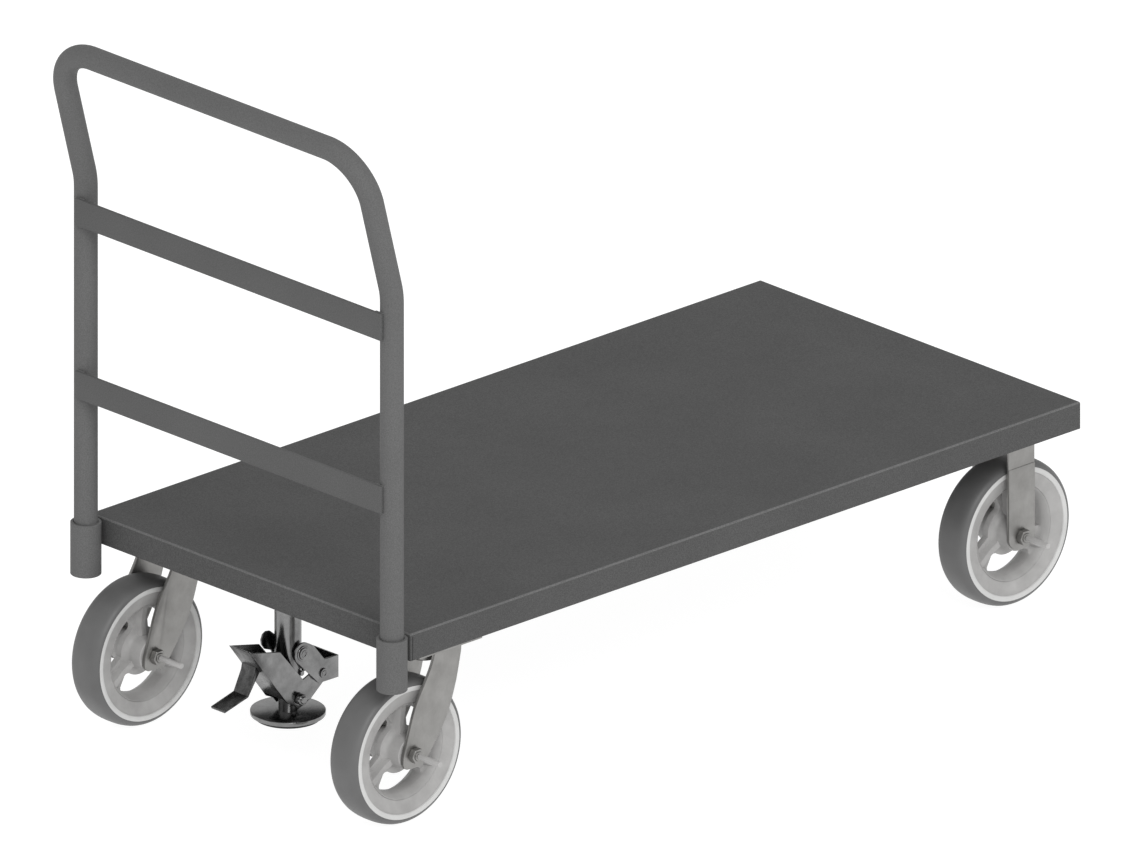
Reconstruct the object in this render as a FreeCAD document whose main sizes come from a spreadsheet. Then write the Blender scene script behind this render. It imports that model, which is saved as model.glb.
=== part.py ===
import FreeCAD, Part

import math
import os
import re

import Sketcher
from FreeCAD import Placement, Rotation, Vector

# Steel platform cart with a lift-out push handle, two swivel and two rigid casters and a floor lock.
# Frame: millimetres, +Z up, floor at z = 0, +X along the deck away from the handle, +Y to the left
# of the person who pushes. The origin is on the floor under the middle of the cart's outline.

doc = FreeCAD.newDocument("platform_cart")
dims = doc.addObject("Spreadsheet::Sheet", "Dims")

DIMENSIONS = [
    ("DeckLength", 1219.2, "platform length"),
    ("DeckWidth", 609.6, "platform width"),
    ("DeckTop", 285.75, "height of the load surface"),
    ("DeckMiddle", 27.05, "x of the platform's middle"),
    ("FlangeHeight", 38.1, "height of the turned-down flanges"),
    ("SheetThick", 2.66, "deck sheet"),
    ("BendRadius", 3.1, "outer radius of the bent deck edges"),
    ("ChannelThick", 4.76, "cross channel plate"),
    ("FrontChannelWidth", 140, "channel over the swivel casters and the lock"),
    ("RearChannelWidth", 116, "channel over the rigid casters"),
    ("StiffenerWidth", 76, "middle stiffener channels"),
    ("StiffenerPitch", 370, "distance between the middle stiffeners"),
    ("PostSpacing", 582.6, "handle posts, centre to centre"),
    ("TubeDiameter", 31.75, "handle tube"),
    ("TubeWall", 2.1, "handle tube wall"),
    ("SocketDiameter", 41.3, "handle socket"),
    ("SocketBore", 32.55, "socket bore"),
    ("SocketTop", 283.15, "top of the sockets"),
    ("SocketBottom", 209.65, "bottom of the sockets"),
    ("StopThick", 5, "disc in the foot of each socket"),
    ("KneeHeight", 768.15, "height at which the posts start to lean"),
    ("LeanAngle", 14.7, "lean of the upper handle away from the deck"),
    ("RailHeight", 969.65, "centre height of the push rail"),
    ("KneeRadius", 100, "bend radius of the knee"),
    ("CornerRadius", 68, "bend radius of the top corners"),
    ("BarHeight", 38.1, "flat crossbars"),
    ("BarThick", 4.76, "flat crossbars"),
    ("UpperBarMiddle", 725.65, "centre height of the upper crossbar"),
    ("LowerBarMiddle", 481.85, "centre height of the lower crossbar"),
    ("WheelDiameter", 203.2, "wheel over the tyre"),
    ("WheelWidth", 50.8, "tyre and rim width"),
    ("RimDiameter", 184, "cast core under the tyre"),
    ("HubWidth", 58, "hub length"),
    ("HubBore", 28, "seat of the roller bearing"),
    ("SleeveDiameter", 19, "inner sleeve that the rollers run on"),
    ("RunningGap", 0.06, "radial clearance of shafts that turn"),
    ("FitGap", 0.05, "radial clearance of bolts in their holes"),
    ("AxleDiameter", 12.7, "axle bolt"),
    ("ForkInner", 61.2, "between the legs of a fork"),
    ("ForkOuter", 70.2, "over the legs of a fork"),
    ("SwivelX", -501.25, "x of the kingpins"),
    ("SwivelY", 246.1, "y of the kingpins"),
    ("CasterLead", 52.1, "kingpin to axle"),
    ("RigidX", 570.05, "x of the rigid axles"),
    ("RigidY", 227.7, "y of the rigid casters"),
    ("PlateThick", 6.35, "caster and lock plates"),
    ("PlateLong", 114.3, "caster plate, long side"),
    ("PlateShort", 101.6, "caster plate, short side"),
    ("HoleLong", 92.1, "bolt holes along the long side"),
    ("HoleShort", 66.7, "bolt holes along the short side"),
    ("BoltDiameter", 9.52, "plate bolts"),
    ("BoltHead", 15.6, "across the corners of the bolt heads"),
    ("HeadThick", 5.8, "bolt heads"),
    ("WasherThick", 1.6, "washers under the bolt heads"),
    ("WasherDiameter", 20.6, "washers under the bolt heads"),
    ("CrownTop", 240, "top of the swivel fork's crown"),
    ("CrownThick", 6, "crown plate"),
    ("CrownDiameter", 70, "crown plate of the swivel fork"),
    ("SkirtDiameter", 40, "skirt round the kingpin's nut"),
    ("CrownSkirt", 16.4, "depth of the skirt under the crown"),
    ("SkirtWall", 3, "wall of the skirt"),
    ("BallDiameter", 6.4, "swivel bearing balls"),
    ("RaceDiameter", 7, "width of the grooves that the balls run in"),
    ("BallCircle", 48, "pitch circle of the balls"),
    ("KingpinDiameter", 16, "kingpin"),
    ("NutThick", 9, "axle nuts"),
    ("FittingDiameter", 7.6, "grease tube at the axle's ends"),
    ("FittingLength", 40, "grease tube at the axle's ends"),
    ("LockX", -513.95, "x of the floor lock"),
    ("LockPlate", 96, "side of the lock's plate"),
    ("LockHoles", 70, "bolt spacing of the lock's plate"),
    ("LockTube", 36, "outer diameter of the lock's body tube"),
    ("LockTubeBottom", 123.65, "lower end of the body tube"),
    ("StemDiameter", 25.4, "sliding stem"),
    ("StemTop", 190, "upper end of the stem, lock raised"),
    ("PadDiameter", 100, "foot disc of the lock"),
    ("PadTop", 75.65, "top of the foot disc, lock raised"),
    ("PadThick", 6, "steel foot disc"),
    ("PedalInner", 36.8, "between the pedal yoke's flanges"),
    ("PedalOuter", 41.8, "over the pedal yoke's flanges"),
    ("LinkInner", 42.6, "between the link yoke's flanges"),
    ("LinkOuter", 47.6, "over the link yoke's flanges"),
    ("PivotDiameter", 10, "studs and pins of the lock"),
]
for row, (alias, size, meaning) in enumerate(DIMENSIONS, start=1):
    dims.set(f"A{row}", meaning)
    dims.set(f"B{row}", str(size))
    dims.setAlias(f"B{row}", alias)
doc.recompute()

DECK_BOTTOM = "(DeckTop - FlangeHeight)"
PLATE_BOTTOM = "(DeckTop - FlangeHeight - PlateThick)"
AXLE_HEIGHT = "(WheelDiameter / 2)"
POST_X = "(DeckMiddle - DeckLength / 2 - SocketDiameter / 2)"
SIDES = {"left": 1, "right": -1}

nodes = {}


def bound(text):
    """The expression with every alias of the sheet written out in full."""
    return re.sub(r"\b[A-Z][A-Za-z]+\b", r"Dims.\g<0>", text)


def value(text):
    return float(dims.evalExpression(text))


def place(thing, x="0", y="0", z="0", axis=(0, 0, 1), angle=0):
    thing.Placement = Placement(Vector(), Rotation(Vector(*axis), angle))
    for letter, text in zip("xyz", (x, y, z)):
        thing.setExpression(f".Placement.Base.{letter}", bound(text))
    return thing


def sized(kind, name, **sizes):
    thing = doc.addObject(kind, name)
    for size, text in sizes.items():
        thing.setExpression(size, bound(text))
    return thing


def box(name, x, y, z):
    """A box between two limits along each axis."""
    thing = sized(
        "Part::Box", name,
        Length=f"{x[1]} - ({x[0]})", Width=f"{y[1]} - ({y[0]})", Height=f"{z[1]} - ({z[0]})",
    )
    return place(thing, x[0], y[0], z[0])


def cylinder(name, radius, start, end, x="0", y="0", z="0", along="Z"):
    """A round bar along Z or Y, between two limits on that axis."""
    thing = sized("Part::Cylinder", name, Radius=radius, Height=f"{end} - ({start})")
    if along == "Z":
        return place(thing, x, y, start)
    return place(thing, x, start, z, (1, 0, 0), -90)


def hexagon(name, across, start, end, x="0", y="0", z="0", along="Z"):
    """A hexagonal bar along Z or Y; across is its size over the corners."""
    thing = sized("Part::Prism", name, Circumradius=f"{across} / 2", Height=f"{end} - ({start})")
    thing.Polygon = 6
    if along == "Z":
        return place(thing, x, y, start)
    return place(thing, x, start, z, (1, 0, 0), -90)


def cut(name, base, tool):
    thing = doc.addObject("Part::Cut", name)
    thing.Base = base
    thing.Tool = tool
    return thing


def fuse(name, things):
    thing = doc.addObject("Part::MultiFuse", name)
    thing.Shapes = things
    return thing


def group(name, things):
    thing = doc.addObject("Part::Compound", name)
    thing.Links = things
    return thing


def keep(node, thing):
    """Name a finished sub-part."""
    thing.Label = node
    nodes[node] = thing
    return thing


# ---- sketches and features of PartDesign bodies

def new_body(name, x="0", y="0", z="0"):
    return place(doc.addObject("PartDesign::Body", name), x, y, z)


def sketch_on(body, role, offset="0"):
    sketch = body.newObject("Sketcher::SketchObject", f"{body.Name}_sketch")
    plane = next(item for item in body.Origin.OriginFeatures if item.Role == role)
    sketch.AttachmentSupport = [(plane, "")]
    sketch.MapMode = "FlatFace"
    sketch.setExpression(".AttachmentOffset.Base.z", bound(offset))
    return sketch


def fix(sketch, kind, texts, *where):
    """A dimension of the sketch that follows the sheet."""
    number = sketch.addConstraint(Sketcher.Constraint(kind, *where, value(texts)))
    sketch.setExpression(f"Constraints[{number}]", bound(texts))


def outline(sketch, points):
    """A closed outline through the given points."""
    first = sketch.GeometryCount
    count = len(points)
    corners = [Vector(value(x), value(y), 0) for x, y in points]
    for number, corner in enumerate(corners):
        sketch.addGeometry(Part.LineSegment(corner, corners[(number + 1) % count]), False)
    for number in range(count):
        follower = first + (number + 1) % count
        sketch.addConstraint(Sketcher.Constraint("Coincident", first + number, 2, follower, 1))
    for number, (x, y) in enumerate(points):
        fix(sketch, "DistanceX", x, -1, 1, first + number, 1)
        fix(sketch, "DistanceY", y, -1, 1, first + number, 1)


def rectangle(sketch, x, y):
    outline(sketch, [(x[0], y[0]), (x[1], y[0]), (x[1], y[1]), (x[0], y[1])])


def circle(sketch, radius, x="0", y="0"):
    shape = Part.Circle(Vector(value(x), value(y), 0), Vector(0, 0, 1), value(radius))
    number = sketch.addGeometry(shape, False)
    fix(sketch, "DistanceX", x, -1, 1, number, 3)
    fix(sketch, "DistanceY", y, -1, 1, number, 3)
    fix(sketch, "Radius", radius, number)


def pad(body, sketch, length, symmetric=False, down=False):
    feature = body.newObject("PartDesign::Pad", f"{body.Name}_pad")
    feature.Profile = sketch
    feature.setExpression("Length", bound(length))
    feature.SideType = "Symmetric" if symmetric else "One side"
    feature.Reversed = down
    return feature


def pocket(body, sketch, length, symmetric=False, up=False):
    feature = body.newObject("PartDesign::Pocket", f"{body.Name}_pocket")
    feature.Profile = sketch
    feature.setExpression("Length", bound(length))
    feature.SideType = "Symmetric" if symmetric else "One side"
    feature.Reversed = up
    return feature


def revolution(body, sketch):
    feature = body.newObject("PartDesign::Revolution", f"{body.Name}_revolution")
    feature.Profile = sketch
    feature.ReferenceAxis = (sketch, ["V_Axis"])
    feature.Angle = 360
    return feature


# ---- deck pan: one sheet, bent down on all four sides

def make_deck():
    body = new_body("deck", "DeckMiddle", "0", DECK_BOTTOM)
    sketch = sketch_on(body, "XY_Plane")
    rectangle(sketch, ("-DeckLength / 2", "DeckLength / 2"), ("-DeckWidth / 2", "DeckWidth / 2"))
    block = pad(body, sketch, "FlangeHeight")
    doc.recompute()
    height = value("FlangeHeight")
    top_edges = [
        f"Edge{number}"
        for number, edge in enumerate(block.Shape.Edges, start=1)
        if edge.BoundBox.ZMin > height - 0.01
    ]
    bend = body.newObject("PartDesign::Fillet", "deck_bend")
    bend.Base = (block, top_edges)
    bend.setExpression("Radius", bound("BendRadius"))
    inner = sketch_on(body, "XY_Plane")
    rectangle(
        inner,
        ("-DeckLength / 2 + SheetThick", "DeckLength / 2 - SheetThick"),
        ("-DeckWidth / 2 + SheetThick", "DeckWidth / 2 - SheetThick"),
    )
    pocket(body, inner, "FlangeHeight - SheetThick", up=True)
    keep("deck_pan", body)


# ---- cross channels under the deck, open side up, each with holes for what it carries

def plate_holes(x, y, along_x, along_y):
    """The four bolt places of a plate."""
    return [
        (f"{x} + {i} * {along_x} / 2", f"{y} + {j} * {along_y} / 2")
        for i in (-1, 1)
        for j in (-1, 1)
    ]


def swivel_holes(side):
    return plate_holes("SwivelX", f"{side} * SwivelY", "HoleLong", "HoleShort")


def rigid_holes(side):
    return plate_holes("RigidX", f"{side} * RigidY", "HoleShort", "HoleLong")


def lock_holes():
    return plate_holes("LockX", "0", "LockHoles", "LockHoles")


def make_channel(name, width, x, holes=(), pins=()):
    body = new_body(name, x, "0", DECK_BOTTOM)
    profile = sketch_on(body, "XZ_Plane")
    depth = "(FlangeHeight - SheetThick)"
    outline(profile, [
        (f"-{width} / 2", "0"),
        (f"{width} / 2", "0"),
        (f"{width} / 2", depth),
        (f"{width} / 2 - ChannelThick", depth),
        (f"{width} / 2 - ChannelThick", "ChannelThick"),
        (f"-{width} / 2 + ChannelThick", "ChannelThick"),
        (f"-{width} / 2 + ChannelThick", depth),
        (f"-{width} / 2", depth),
    ])
    pad(body, profile, "DeckWidth - 2 * SheetThick", symmetric=True)
    if holes:
        sketch = sketch_on(body, "XY_Plane")
        for hole_x, hole_y in holes:
            circle(sketch, "BoltDiameter / 2 + FitGap", f"{hole_x} - {x}", hole_y)
        for pin_x, pin_y in pins:
            circle(sketch, "KingpinDiameter", f"{pin_x} - {x}", pin_y)
        pocket(body, sketch, "ChannelThick", up=True)
    return body


def make_channels():
    swivel = swivel_holes(1) + swivel_holes(-1) + lock_holes()
    pins = [("SwivelX", "SwivelY"), ("SwivelX", "-SwivelY")]
    keep("front_channel", make_channel("front", "FrontChannelWidth", "SwivelX", swivel, pins))
    rigid = rigid_holes(1) + rigid_holes(-1)
    keep("rear_channel", make_channel("rear", "RearChannelWidth", "RigidX", rigid))
    middles = [f"DeckMiddle + {i} * StiffenerPitch / 2" for i in (-1, 1)]
    stiffeners = [
        make_channel(f"stiffener_{number}", "StiffenerWidth", middle)
        for number, middle in enumerate(middles)
    ]
    keep("deck_stiffeners", group("stiffeners", stiffeners))


# ---- handle sockets, welded to the deck's end flange

def make_sockets():
    stops = []
    for name, side in SIDES.items():
        y = f"{side} * PostSpacing / 2"
        outer = cylinder(f"socket_{name}", "SocketDiameter / 2", "SocketBottom", "SocketTop", POST_X, y)
        bore = cylinder(f"bore_{name}", "SocketBore / 2", "SocketBottom", "SocketTop", POST_X, y)
        keep(f"handle_socket_{name}", cut(f"socket_cut_{name}", outer, bore))
        top = "SocketBottom + StopThick"
        stops.append(cylinder(f"stop_{name}", "SocketBore / 2", "SocketBottom", top, POST_X, y))
    keep("socket_stops", group("stops", stops))


# ---- handle: one bent tube and two flat crossbars on the pushing side

def handle_path():
    """Centre line of the tube: post, knee, leaning part, corner, rail, and back down."""
    half = value("PostSpacing / 2")
    x = value(POST_X)
    lean = math.radians(value("LeanAngle"))
    rise = value("RailHeight - KneeHeight")
    foot = Vector(x, -half, value("SocketBottom + StopThick"))
    knee = Vector(x, -half, value("KneeHeight"))
    corner = Vector(x - rise * math.tan(lean), -half, value("RailHeight"))
    points = [foot, knee, corner]
    points += [Vector(point.x, -point.y, point.z) for point in reversed(points)]
    radii = [value("KneeRadius"), value("CornerRadius"), value("CornerRadius"), value("KneeRadius")]
    edges = []
    start = points[0]
    for before, bend, after, radius in zip(points, points[1:], points[2:], radii):
        into = (bend - before).normalize()
        out = (after - bend).normalize()
        turn = into.getAngle(out)
        reach = radius * math.tan(turn / 2)
        first = bend - into * reach
        last = bend + out * reach
        centre = bend + (out - into).normalize() * (radius / math.cos(turn / 2))
        middle = centre + (bend - centre).normalize() * radius
        edges.append(Part.LineSegment(start, first).toShape())
        edges.append(Part.Arc(first, middle, last).toShape())
        start = last
    edges.append(Part.LineSegment(start, points[-1]).toShape())
    return Part.Wire(edges)


def make_handle():
    path = doc.addObject("Part::Feature", "handle_path")
    path.Shape = handle_path()
    walls = {}
    for name, radius in (("outside", "TubeDiameter / 2"), ("inside", "TubeDiameter / 2 - TubeWall")):
        ring = sized("Part::Circle", f"{name}_circle", Radius=radius)
        place(ring, POST_X, "-PostSpacing / 2", "SocketBottom + StopThick")
        sweep = doc.addObject("Part::Sweep", f"{name}_sweep")
        sweep.Sections = [ring]
        sweep.Spine = (path, [f"Edge{number + 1}" for number in range(len(path.Shape.Edges))])
        sweep.Solid = True
        walls[name] = sweep
    keep("handle_tube", cut("handle_tube_cut", walls["outside"], walls["inside"]))
    near = f"{POST_X} - TubeDiameter / 2"
    for name in ("Upper", "Lower"):
        middle = f"{name}BarMiddle"
        bar = box(
            f"{name}_bar",
            (f"{near} - BarThick", near),
            ("-PostSpacing / 2", "PostSpacing / 2"),
            (f"{middle} - BarHeight / 2", f"{middle} + BarHeight / 2"),
        )
        keep(f"{name.lower()}_crossbar", bar)


# ---- plate bolts: heads and washers inside the channels, threads in the tapped plates

def make_plate_bolts():
    bolts = []
    washers = []
    places = swivel_holes(1) + swivel_holes(-1) + rigid_holes(1) + rigid_holes(-1) + lock_holes()
    web_top = f"{DECK_BOTTOM} + ChannelThick"
    seat = f"{web_top} + WasherThick"
    for number, (x, y) in enumerate(places):
        head = hexagon(f"head_{number}", "BoltHead", seat, f"{seat} + HeadThick", x, y)
        shank = cylinder(f"shank_{number}", "BoltDiameter / 2", PLATE_BOTTOM, seat, x, y)
        bolts.append(fuse(f"bolt_{number}", [head, shank]))
        blank = cylinder(f"washer_blank_{number}", "WasherDiameter / 2", web_top, seat, x, y)
        hole = cylinder(f"washer_hole_{number}", "BoltDiameter / 2 + FitGap", web_top, seat, x, y)
        washers.append(cut(f"plate_washer_{number}", blank, hole))
    keep("plate_bolts", group("bolts", bolts))
    keep("plate_washers", group("plate_washers", washers))


# ---- axle set of one caster: bolt, nuts, inner sleeve and the grease tubes at both ends

def make_axle_set(name, x, y, z):
    def along(start, end, radius, label):
        low = f"{y} + {start}"
        return cylinder(f"{name}_{label}", radius, low, f"{y} + {end}", x, "0", z, "Y")

    bolt_end = "(ForkOuter / 2 + NutThick + 1.2)"
    bolt = along(f"-{bolt_end}", bolt_end, "AxleDiameter / 2", "bolt")
    tube = along("-ForkInner / 2 + 0.1", "ForkInner / 2 - 0.1", "SleeveDiameter / 2", "sleeve_outside")
    hole = along("-ForkInner / 2", "ForkInner / 2", "AxleDiameter / 2 + FitGap", "sleeve_inside")
    sleeve = cut(f"{name}_sleeve", tube, hole)
    nuts = []
    fittings = []
    for sign in (-1, 1):
        inner = f"{y} + {sign} * (ForkOuter / 2 + NutThick / 2) - NutThick / 2"
        outer = f"{inner} + NutThick"
        blank = hexagon(f"{name}_nut_blank_{sign + 1}", "21.9", inner, outer, x, "0", z, "Y")
        thread = cylinder(
            f"{name}_thread_{sign + 1}", "AxleDiameter / 2 + FitGap", inner, outer, x, "0", z, "Y"
        )
        nuts.append(cut(f"{name}_nut_{sign + 1}", blank, thread))
        root = f"{y} + {sign} * ({bolt_end} + FittingLength / 2) - FittingLength / 2"
        tip = f"{root} + FittingLength"
        fittings.append(
            cylinder(f"{name}_fitting_{sign + 1}", "FittingDiameter / 2", root, tip, x, "0", z, "Y")
        )
    return bolt, sleeve, nuts, fittings


# ---- swivel casters: plate with upper race, balls, kingpin, fork

def race_groove(name, y, height):
    """The ring that is cut away where the balls run."""
    ring = sized("Part::Torus", name, Radius1="BallCircle / 2", Radius2="RaceDiameter / 2")
    return place(ring, "SwivelX", y, height)


def make_swivel_caster(name, side):
    y = f"{side} * SwivelY"
    axle_x = "SwivelX - CasterLead"

    plate = new_body(f"swivel_plate_{name}", "SwivelX", y, PLATE_BOTTOM)
    sketch = sketch_on(plate, "XY_Plane")
    rectangle(sketch, ("-PlateLong / 2", "PlateLong / 2"), ("-PlateShort / 2", "PlateShort / 2"))
    circle(sketch, "KingpinDiameter / 2 + FitGap")
    for hole_x, hole_y in plate_holes("0", "0", "HoleLong", "HoleShort"):
        circle(sketch, "BoltDiameter / 2 + FitGap", hole_x, hole_y)
    pad(plate, sketch, "PlateThick")
    ball_height = f"({PLATE_BOTTOM} + CrownTop) / 2"
    upper_race = race_groove(f"upper_race_{name}", y, ball_height)
    keep(f"swivel_plate_{name}", cut(f"swivel_plate_cut_{name}", plate, upper_race))

    balls = []
    count = 16
    for number in range(count):
        angle = 360 * number / count
        ball = sized("Part::Sphere", f"ball_{name}_{number}", Radius="BallDiameter / 2")
        ball_x = f"SwivelX + BallCircle / 2 * cos({angle})"
        balls.append(place(ball, ball_x, f"{y} + BallCircle / 2 * sin({angle})", ball_height))
    keep(f"swivel_balls_{name}", group(f"balls_{name}", balls))

    crown_bottom = "CrownTop - CrownThick"
    washer_top = f"({crown_bottom} - 0.3)"
    pin = cylinder(f"pin_{name}", "KingpinDiameter / 2", f"{washer_top} - 16", DECK_BOTTOM, "SwivelX", y)
    head = cylinder(f"pin_head_{name}", "KingpinDiameter - 2", DECK_BOTTOM,
                    f"{DECK_BOTTOM} + 7", "SwivelX", y)
    keep(f"kingpin_{name}", fuse(f"kingpin_{name}", [pin, head]))
    washer = cylinder(f"washer_{name}", "16", f"{washer_top} - 3", washer_top, "SwivelX", y)
    nut = hexagon(f"pin_nut_{name}", "27.7", f"{washer_top} - 14", f"{washer_top} - 3", "SwivelX", y)
    hole = cylinder(f"pin_hole_{name}", "KingpinDiameter / 2", f"{washer_top} - 14", washer_top,
                    "SwivelX", y)
    keep(f"kingpin_nut_{name}", cut(f"pin_nut_cut_{name}", fuse(f"pin_nut_all_{name}", [washer, nut]), hole))

    fork = new_body(f"swivel_fork_{name}", axle_x, y, AXLE_HEIGHT)
    legs = sketch_on(fork, "XZ_Plane")
    crown_top = f"CrownTop - {AXLE_HEIGHT}"
    outline(legs, [
        ("40.9", crown_top), ("30.5", "111"), ("2.1", "65"), ("-13.3", "17"), ("-19.4", "0"),
        ("0", "-8"), ("17", "-9.4"), ("48.7", "21"), ("64.7", "49"), ("77.3", "85.6"),
        ("85.9", "126"), ("86.4", crown_top),
    ])
    pad(fork, legs, "ForkOuter", symmetric=True)
    foot = sketch_on(fork, "XZ_Plane")
    circle(foot, "19.4")
    pad(fork, foot, "ForkOuter", symmetric=True)
    between = sketch_on(fork, "YZ_Plane")
    rectangle(between, ("-ForkInner / 2", "ForkInner / 2"), ("-40", f"{crown_bottom} - {AXLE_HEIGHT}"))
    pocket(fork, between, "400", symmetric=True)
    crown = sketch_on(fork, "XY_Plane", crown_top)
    circle(crown, "CrownDiameter / 2", "CasterLead", "0")
    pad(fork, crown, "CrownThick", down=True)
    skirt = sketch_on(fork, "XY_Plane", f"{crown_bottom} - {AXLE_HEIGHT}")
    circle(skirt, "SkirtDiameter / 2", "CasterLead", "0")
    circle(skirt, "SkirtDiameter / 2 - SkirtWall", "CasterLead", "0")
    pad(fork, skirt, "CrownSkirt", down=True)
    bore = sketch_on(fork, "XY_Plane", crown_top)
    circle(bore, "KingpinDiameter / 2 + RunningGap", "CasterLead", "0")
    pocket(fork, bore, "CrownThick")
    eye = sketch_on(fork, "XZ_Plane")
    circle(eye, "AxleDiameter / 2 + FitGap")
    pocket(fork, eye, "ForkOuter + 2", symmetric=True)
    lower_race = race_groove(f"lower_race_{name}", y, ball_height)
    keep(f"swivel_fork_{name}", cut(f"swivel_fork_cut_{name}", fork, lower_race))

    bolt, sleeve, nuts, fittings = make_axle_set(f"swivel_{name}", axle_x, y, AXLE_HEIGHT)
    keep(f"swivel_axle_{name}", bolt)
    keep(f"swivel_sleeve_{name}", sleeve)
    keep(f"swivel_axle_nuts_{name}", group(f"swivel_nuts_{name}", nuts))
    keep(f"swivel_grease_tubes_{name}", group(f"swivel_fittings_{name}", fittings))
    make_wheel(f"swivel_{name}", axle_x, y)


# ---- rigid casters: plate and legs in one welded fork

def make_rigid_caster(name, side):
    y = f"{side} * RigidY"
    plate_top = f"({DECK_BOTTOM} - {AXLE_HEIGHT})"
    half_leg = "23.35"
    fork = new_body(f"rigid_fork_{name}", "RigidX", y, AXLE_HEIGHT)
    legs = sketch_on(fork, "XZ_Plane")
    rectangle(legs, (f"-{half_leg}", half_leg), ("0", plate_top))
    pad(fork, legs, "ForkOuter", symmetric=True)
    foot = sketch_on(fork, "XZ_Plane")
    circle(foot, half_leg)
    pad(fork, foot, "ForkOuter", symmetric=True)
    between = sketch_on(fork, "YZ_Plane")
    rectangle(between, ("-ForkInner / 2", "ForkInner / 2"), ("-40", f"{plate_top} - PlateThick"))
    pocket(fork, between, "400", symmetric=True)
    plate = sketch_on(fork, "XY_Plane", plate_top)
    rectangle(plate, ("-PlateShort / 2", "PlateShort / 2"), ("-PlateLong / 2", "PlateLong / 2"))
    pad(fork, plate, "PlateThick", down=True)
    holes = sketch_on(fork, "XY_Plane", plate_top)
    for hole_x, hole_y in plate_holes("0", "0", "HoleShort", "HoleLong"):
        circle(holes, "BoltDiameter / 2 + FitGap", hole_x, hole_y)
    pocket(fork, holes, "PlateThick")
    eye = sketch_on(fork, "XZ_Plane")
    circle(eye, "AxleDiameter / 2 + FitGap")
    pocket(fork, eye, "ForkOuter + 2", symmetric=True)
    keep(f"rigid_fork_{name}", fork)
    make_wheel(f"rigid_{name}", "RigidX", y)
    return make_axle_set(f"rigid_{name}", "RigidX", y, AXLE_HEIGHT)


# ---- wheel: cast core with three spokes, moulded tyre, roller bearing

def make_wheel(name, x, y):
    core = new_body(f"core_{name}", x, y, AXLE_HEIGHT)
    profile = sketch_on(core, "XY_Plane")
    half = [
        ("HubBore / 2", "HubWidth / 2"),
        ("22", "HubWidth / 2"),
        ("25", "7"),
        ("34", "5"),
        ("60", "5"),
        ("65", "WheelWidth / 2 - 8.6"),
        ("85.5", "WheelWidth / 2 - 2"),
        ("85.5", "WheelWidth / 2"),
        ("RimDiameter / 2", "WheelWidth / 2"),
    ]
    outline(profile, half + [(radius, f"-({height})") for radius, height in reversed(half)])
    revolution(core, profile)
    windows = []
    ridges = []
    for number in range(3):
        turn = 120 * number
        sector = sized("Part::Cylinder", f"sector_{name}_{number}", Radius="62", Height="WheelWidth")
        sector.Angle = 78
        place(sector, x, f"{y} - WheelWidth / 2", AXLE_HEIGHT)
        spin = Rotation(Vector(0, 1, 0), 90 - turn - 9)
        sector.Placement = Placement(sector.Placement.Base, spin * Rotation(Vector(1, 0, 0), -90))
        windows.append(sector)
        ridge = sized("Part::Box", f"ridge_{name}_{number}", Length="42", Width="24", Height="9")
        arm = Rotation(Vector(0, 1, 0), -90 - turn)
        offset = arm.multVec(Vector(21, -12, -4.5))
        place(ridge, f"{x} + {offset.x}", f"{y} + {offset.y}", f"{AXLE_HEIGHT} + {offset.z}")
        ridge.Placement = Placement(ridge.Placement.Base, arm)
        ridges.append(ridge)
    middle = cylinder(f"middle_{name}", "35", f"{y} - WheelWidth / 2", f"{y} + WheelWidth / 2", x, "0",
                      AXLE_HEIGHT, "Y")
    openings = cut(f"openings_{name}", fuse(f"sectors_{name}", windows), middle)
    pierced = cut(f"pierced_{name}", core, openings)
    keep(f"{name}_wheel_core", fuse(f"core_all_{name}", [pierced] + ridges))

    tyre = new_body(f"tyre_{name}", x, y, AXLE_HEIGHT)
    tread = sketch_on(tyre, "XY_Plane")
    shoulder = [
        ("RimDiameter / 2", "WheelWidth / 2"),
        ("RimDiameter / 2 + 2.4", "WheelWidth / 2 - 1"),
        ("WheelDiameter / 2 - 3.7", "WheelWidth / 2 - 3.8"),
        ("WheelDiameter / 2 - 1.5", "WheelWidth / 2 - 8.4"),
        ("WheelDiameter / 2 - 0.5", "WheelWidth / 2 - 15"),
        ("WheelDiameter / 2", "WheelWidth / 2 - 22"),
    ]
    outline(tread, shoulder + [(radius, f"-({height})") for radius, height in reversed(shoulder)])
    revolution(tyre, tread)
    keep(f"{name}_tyre", tyre)

    low = f"{y} - HubWidth / 2 + 2"
    high = f"{y} + HubWidth / 2 - 2"
    outside = cylinder(f"rollers_{name}", "HubBore / 2", low, high, x, "0", AXLE_HEIGHT, "Y")
    inside = cylinder(f"rollers_bore_{name}", "SleeveDiameter / 2 + RunningGap", low, high, x, "0",
                      AXLE_HEIGHT, "Y")
    keep(f"{name}_bearing", cut(f"bearing_{name}", outside, inside))


# ---- floor lock; heights below are given from the deck's lower edge, x from the lock's axis

LINK_PIVOT = ("5", "-88")
PEDAL_PIVOT = ("0", "-151")
KNEE_PIVOT = ("42.5", "-125.7")


def lock_bar(name, radius, pivot, start, end):
    """A round bar across the lock at one of its pivots."""
    return cylinder(
        name, radius, start, end, f"LockX + {pivot[0]}", "0", f"{DECK_BOTTOM} + {pivot[1]}", "Y"
    )


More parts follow.
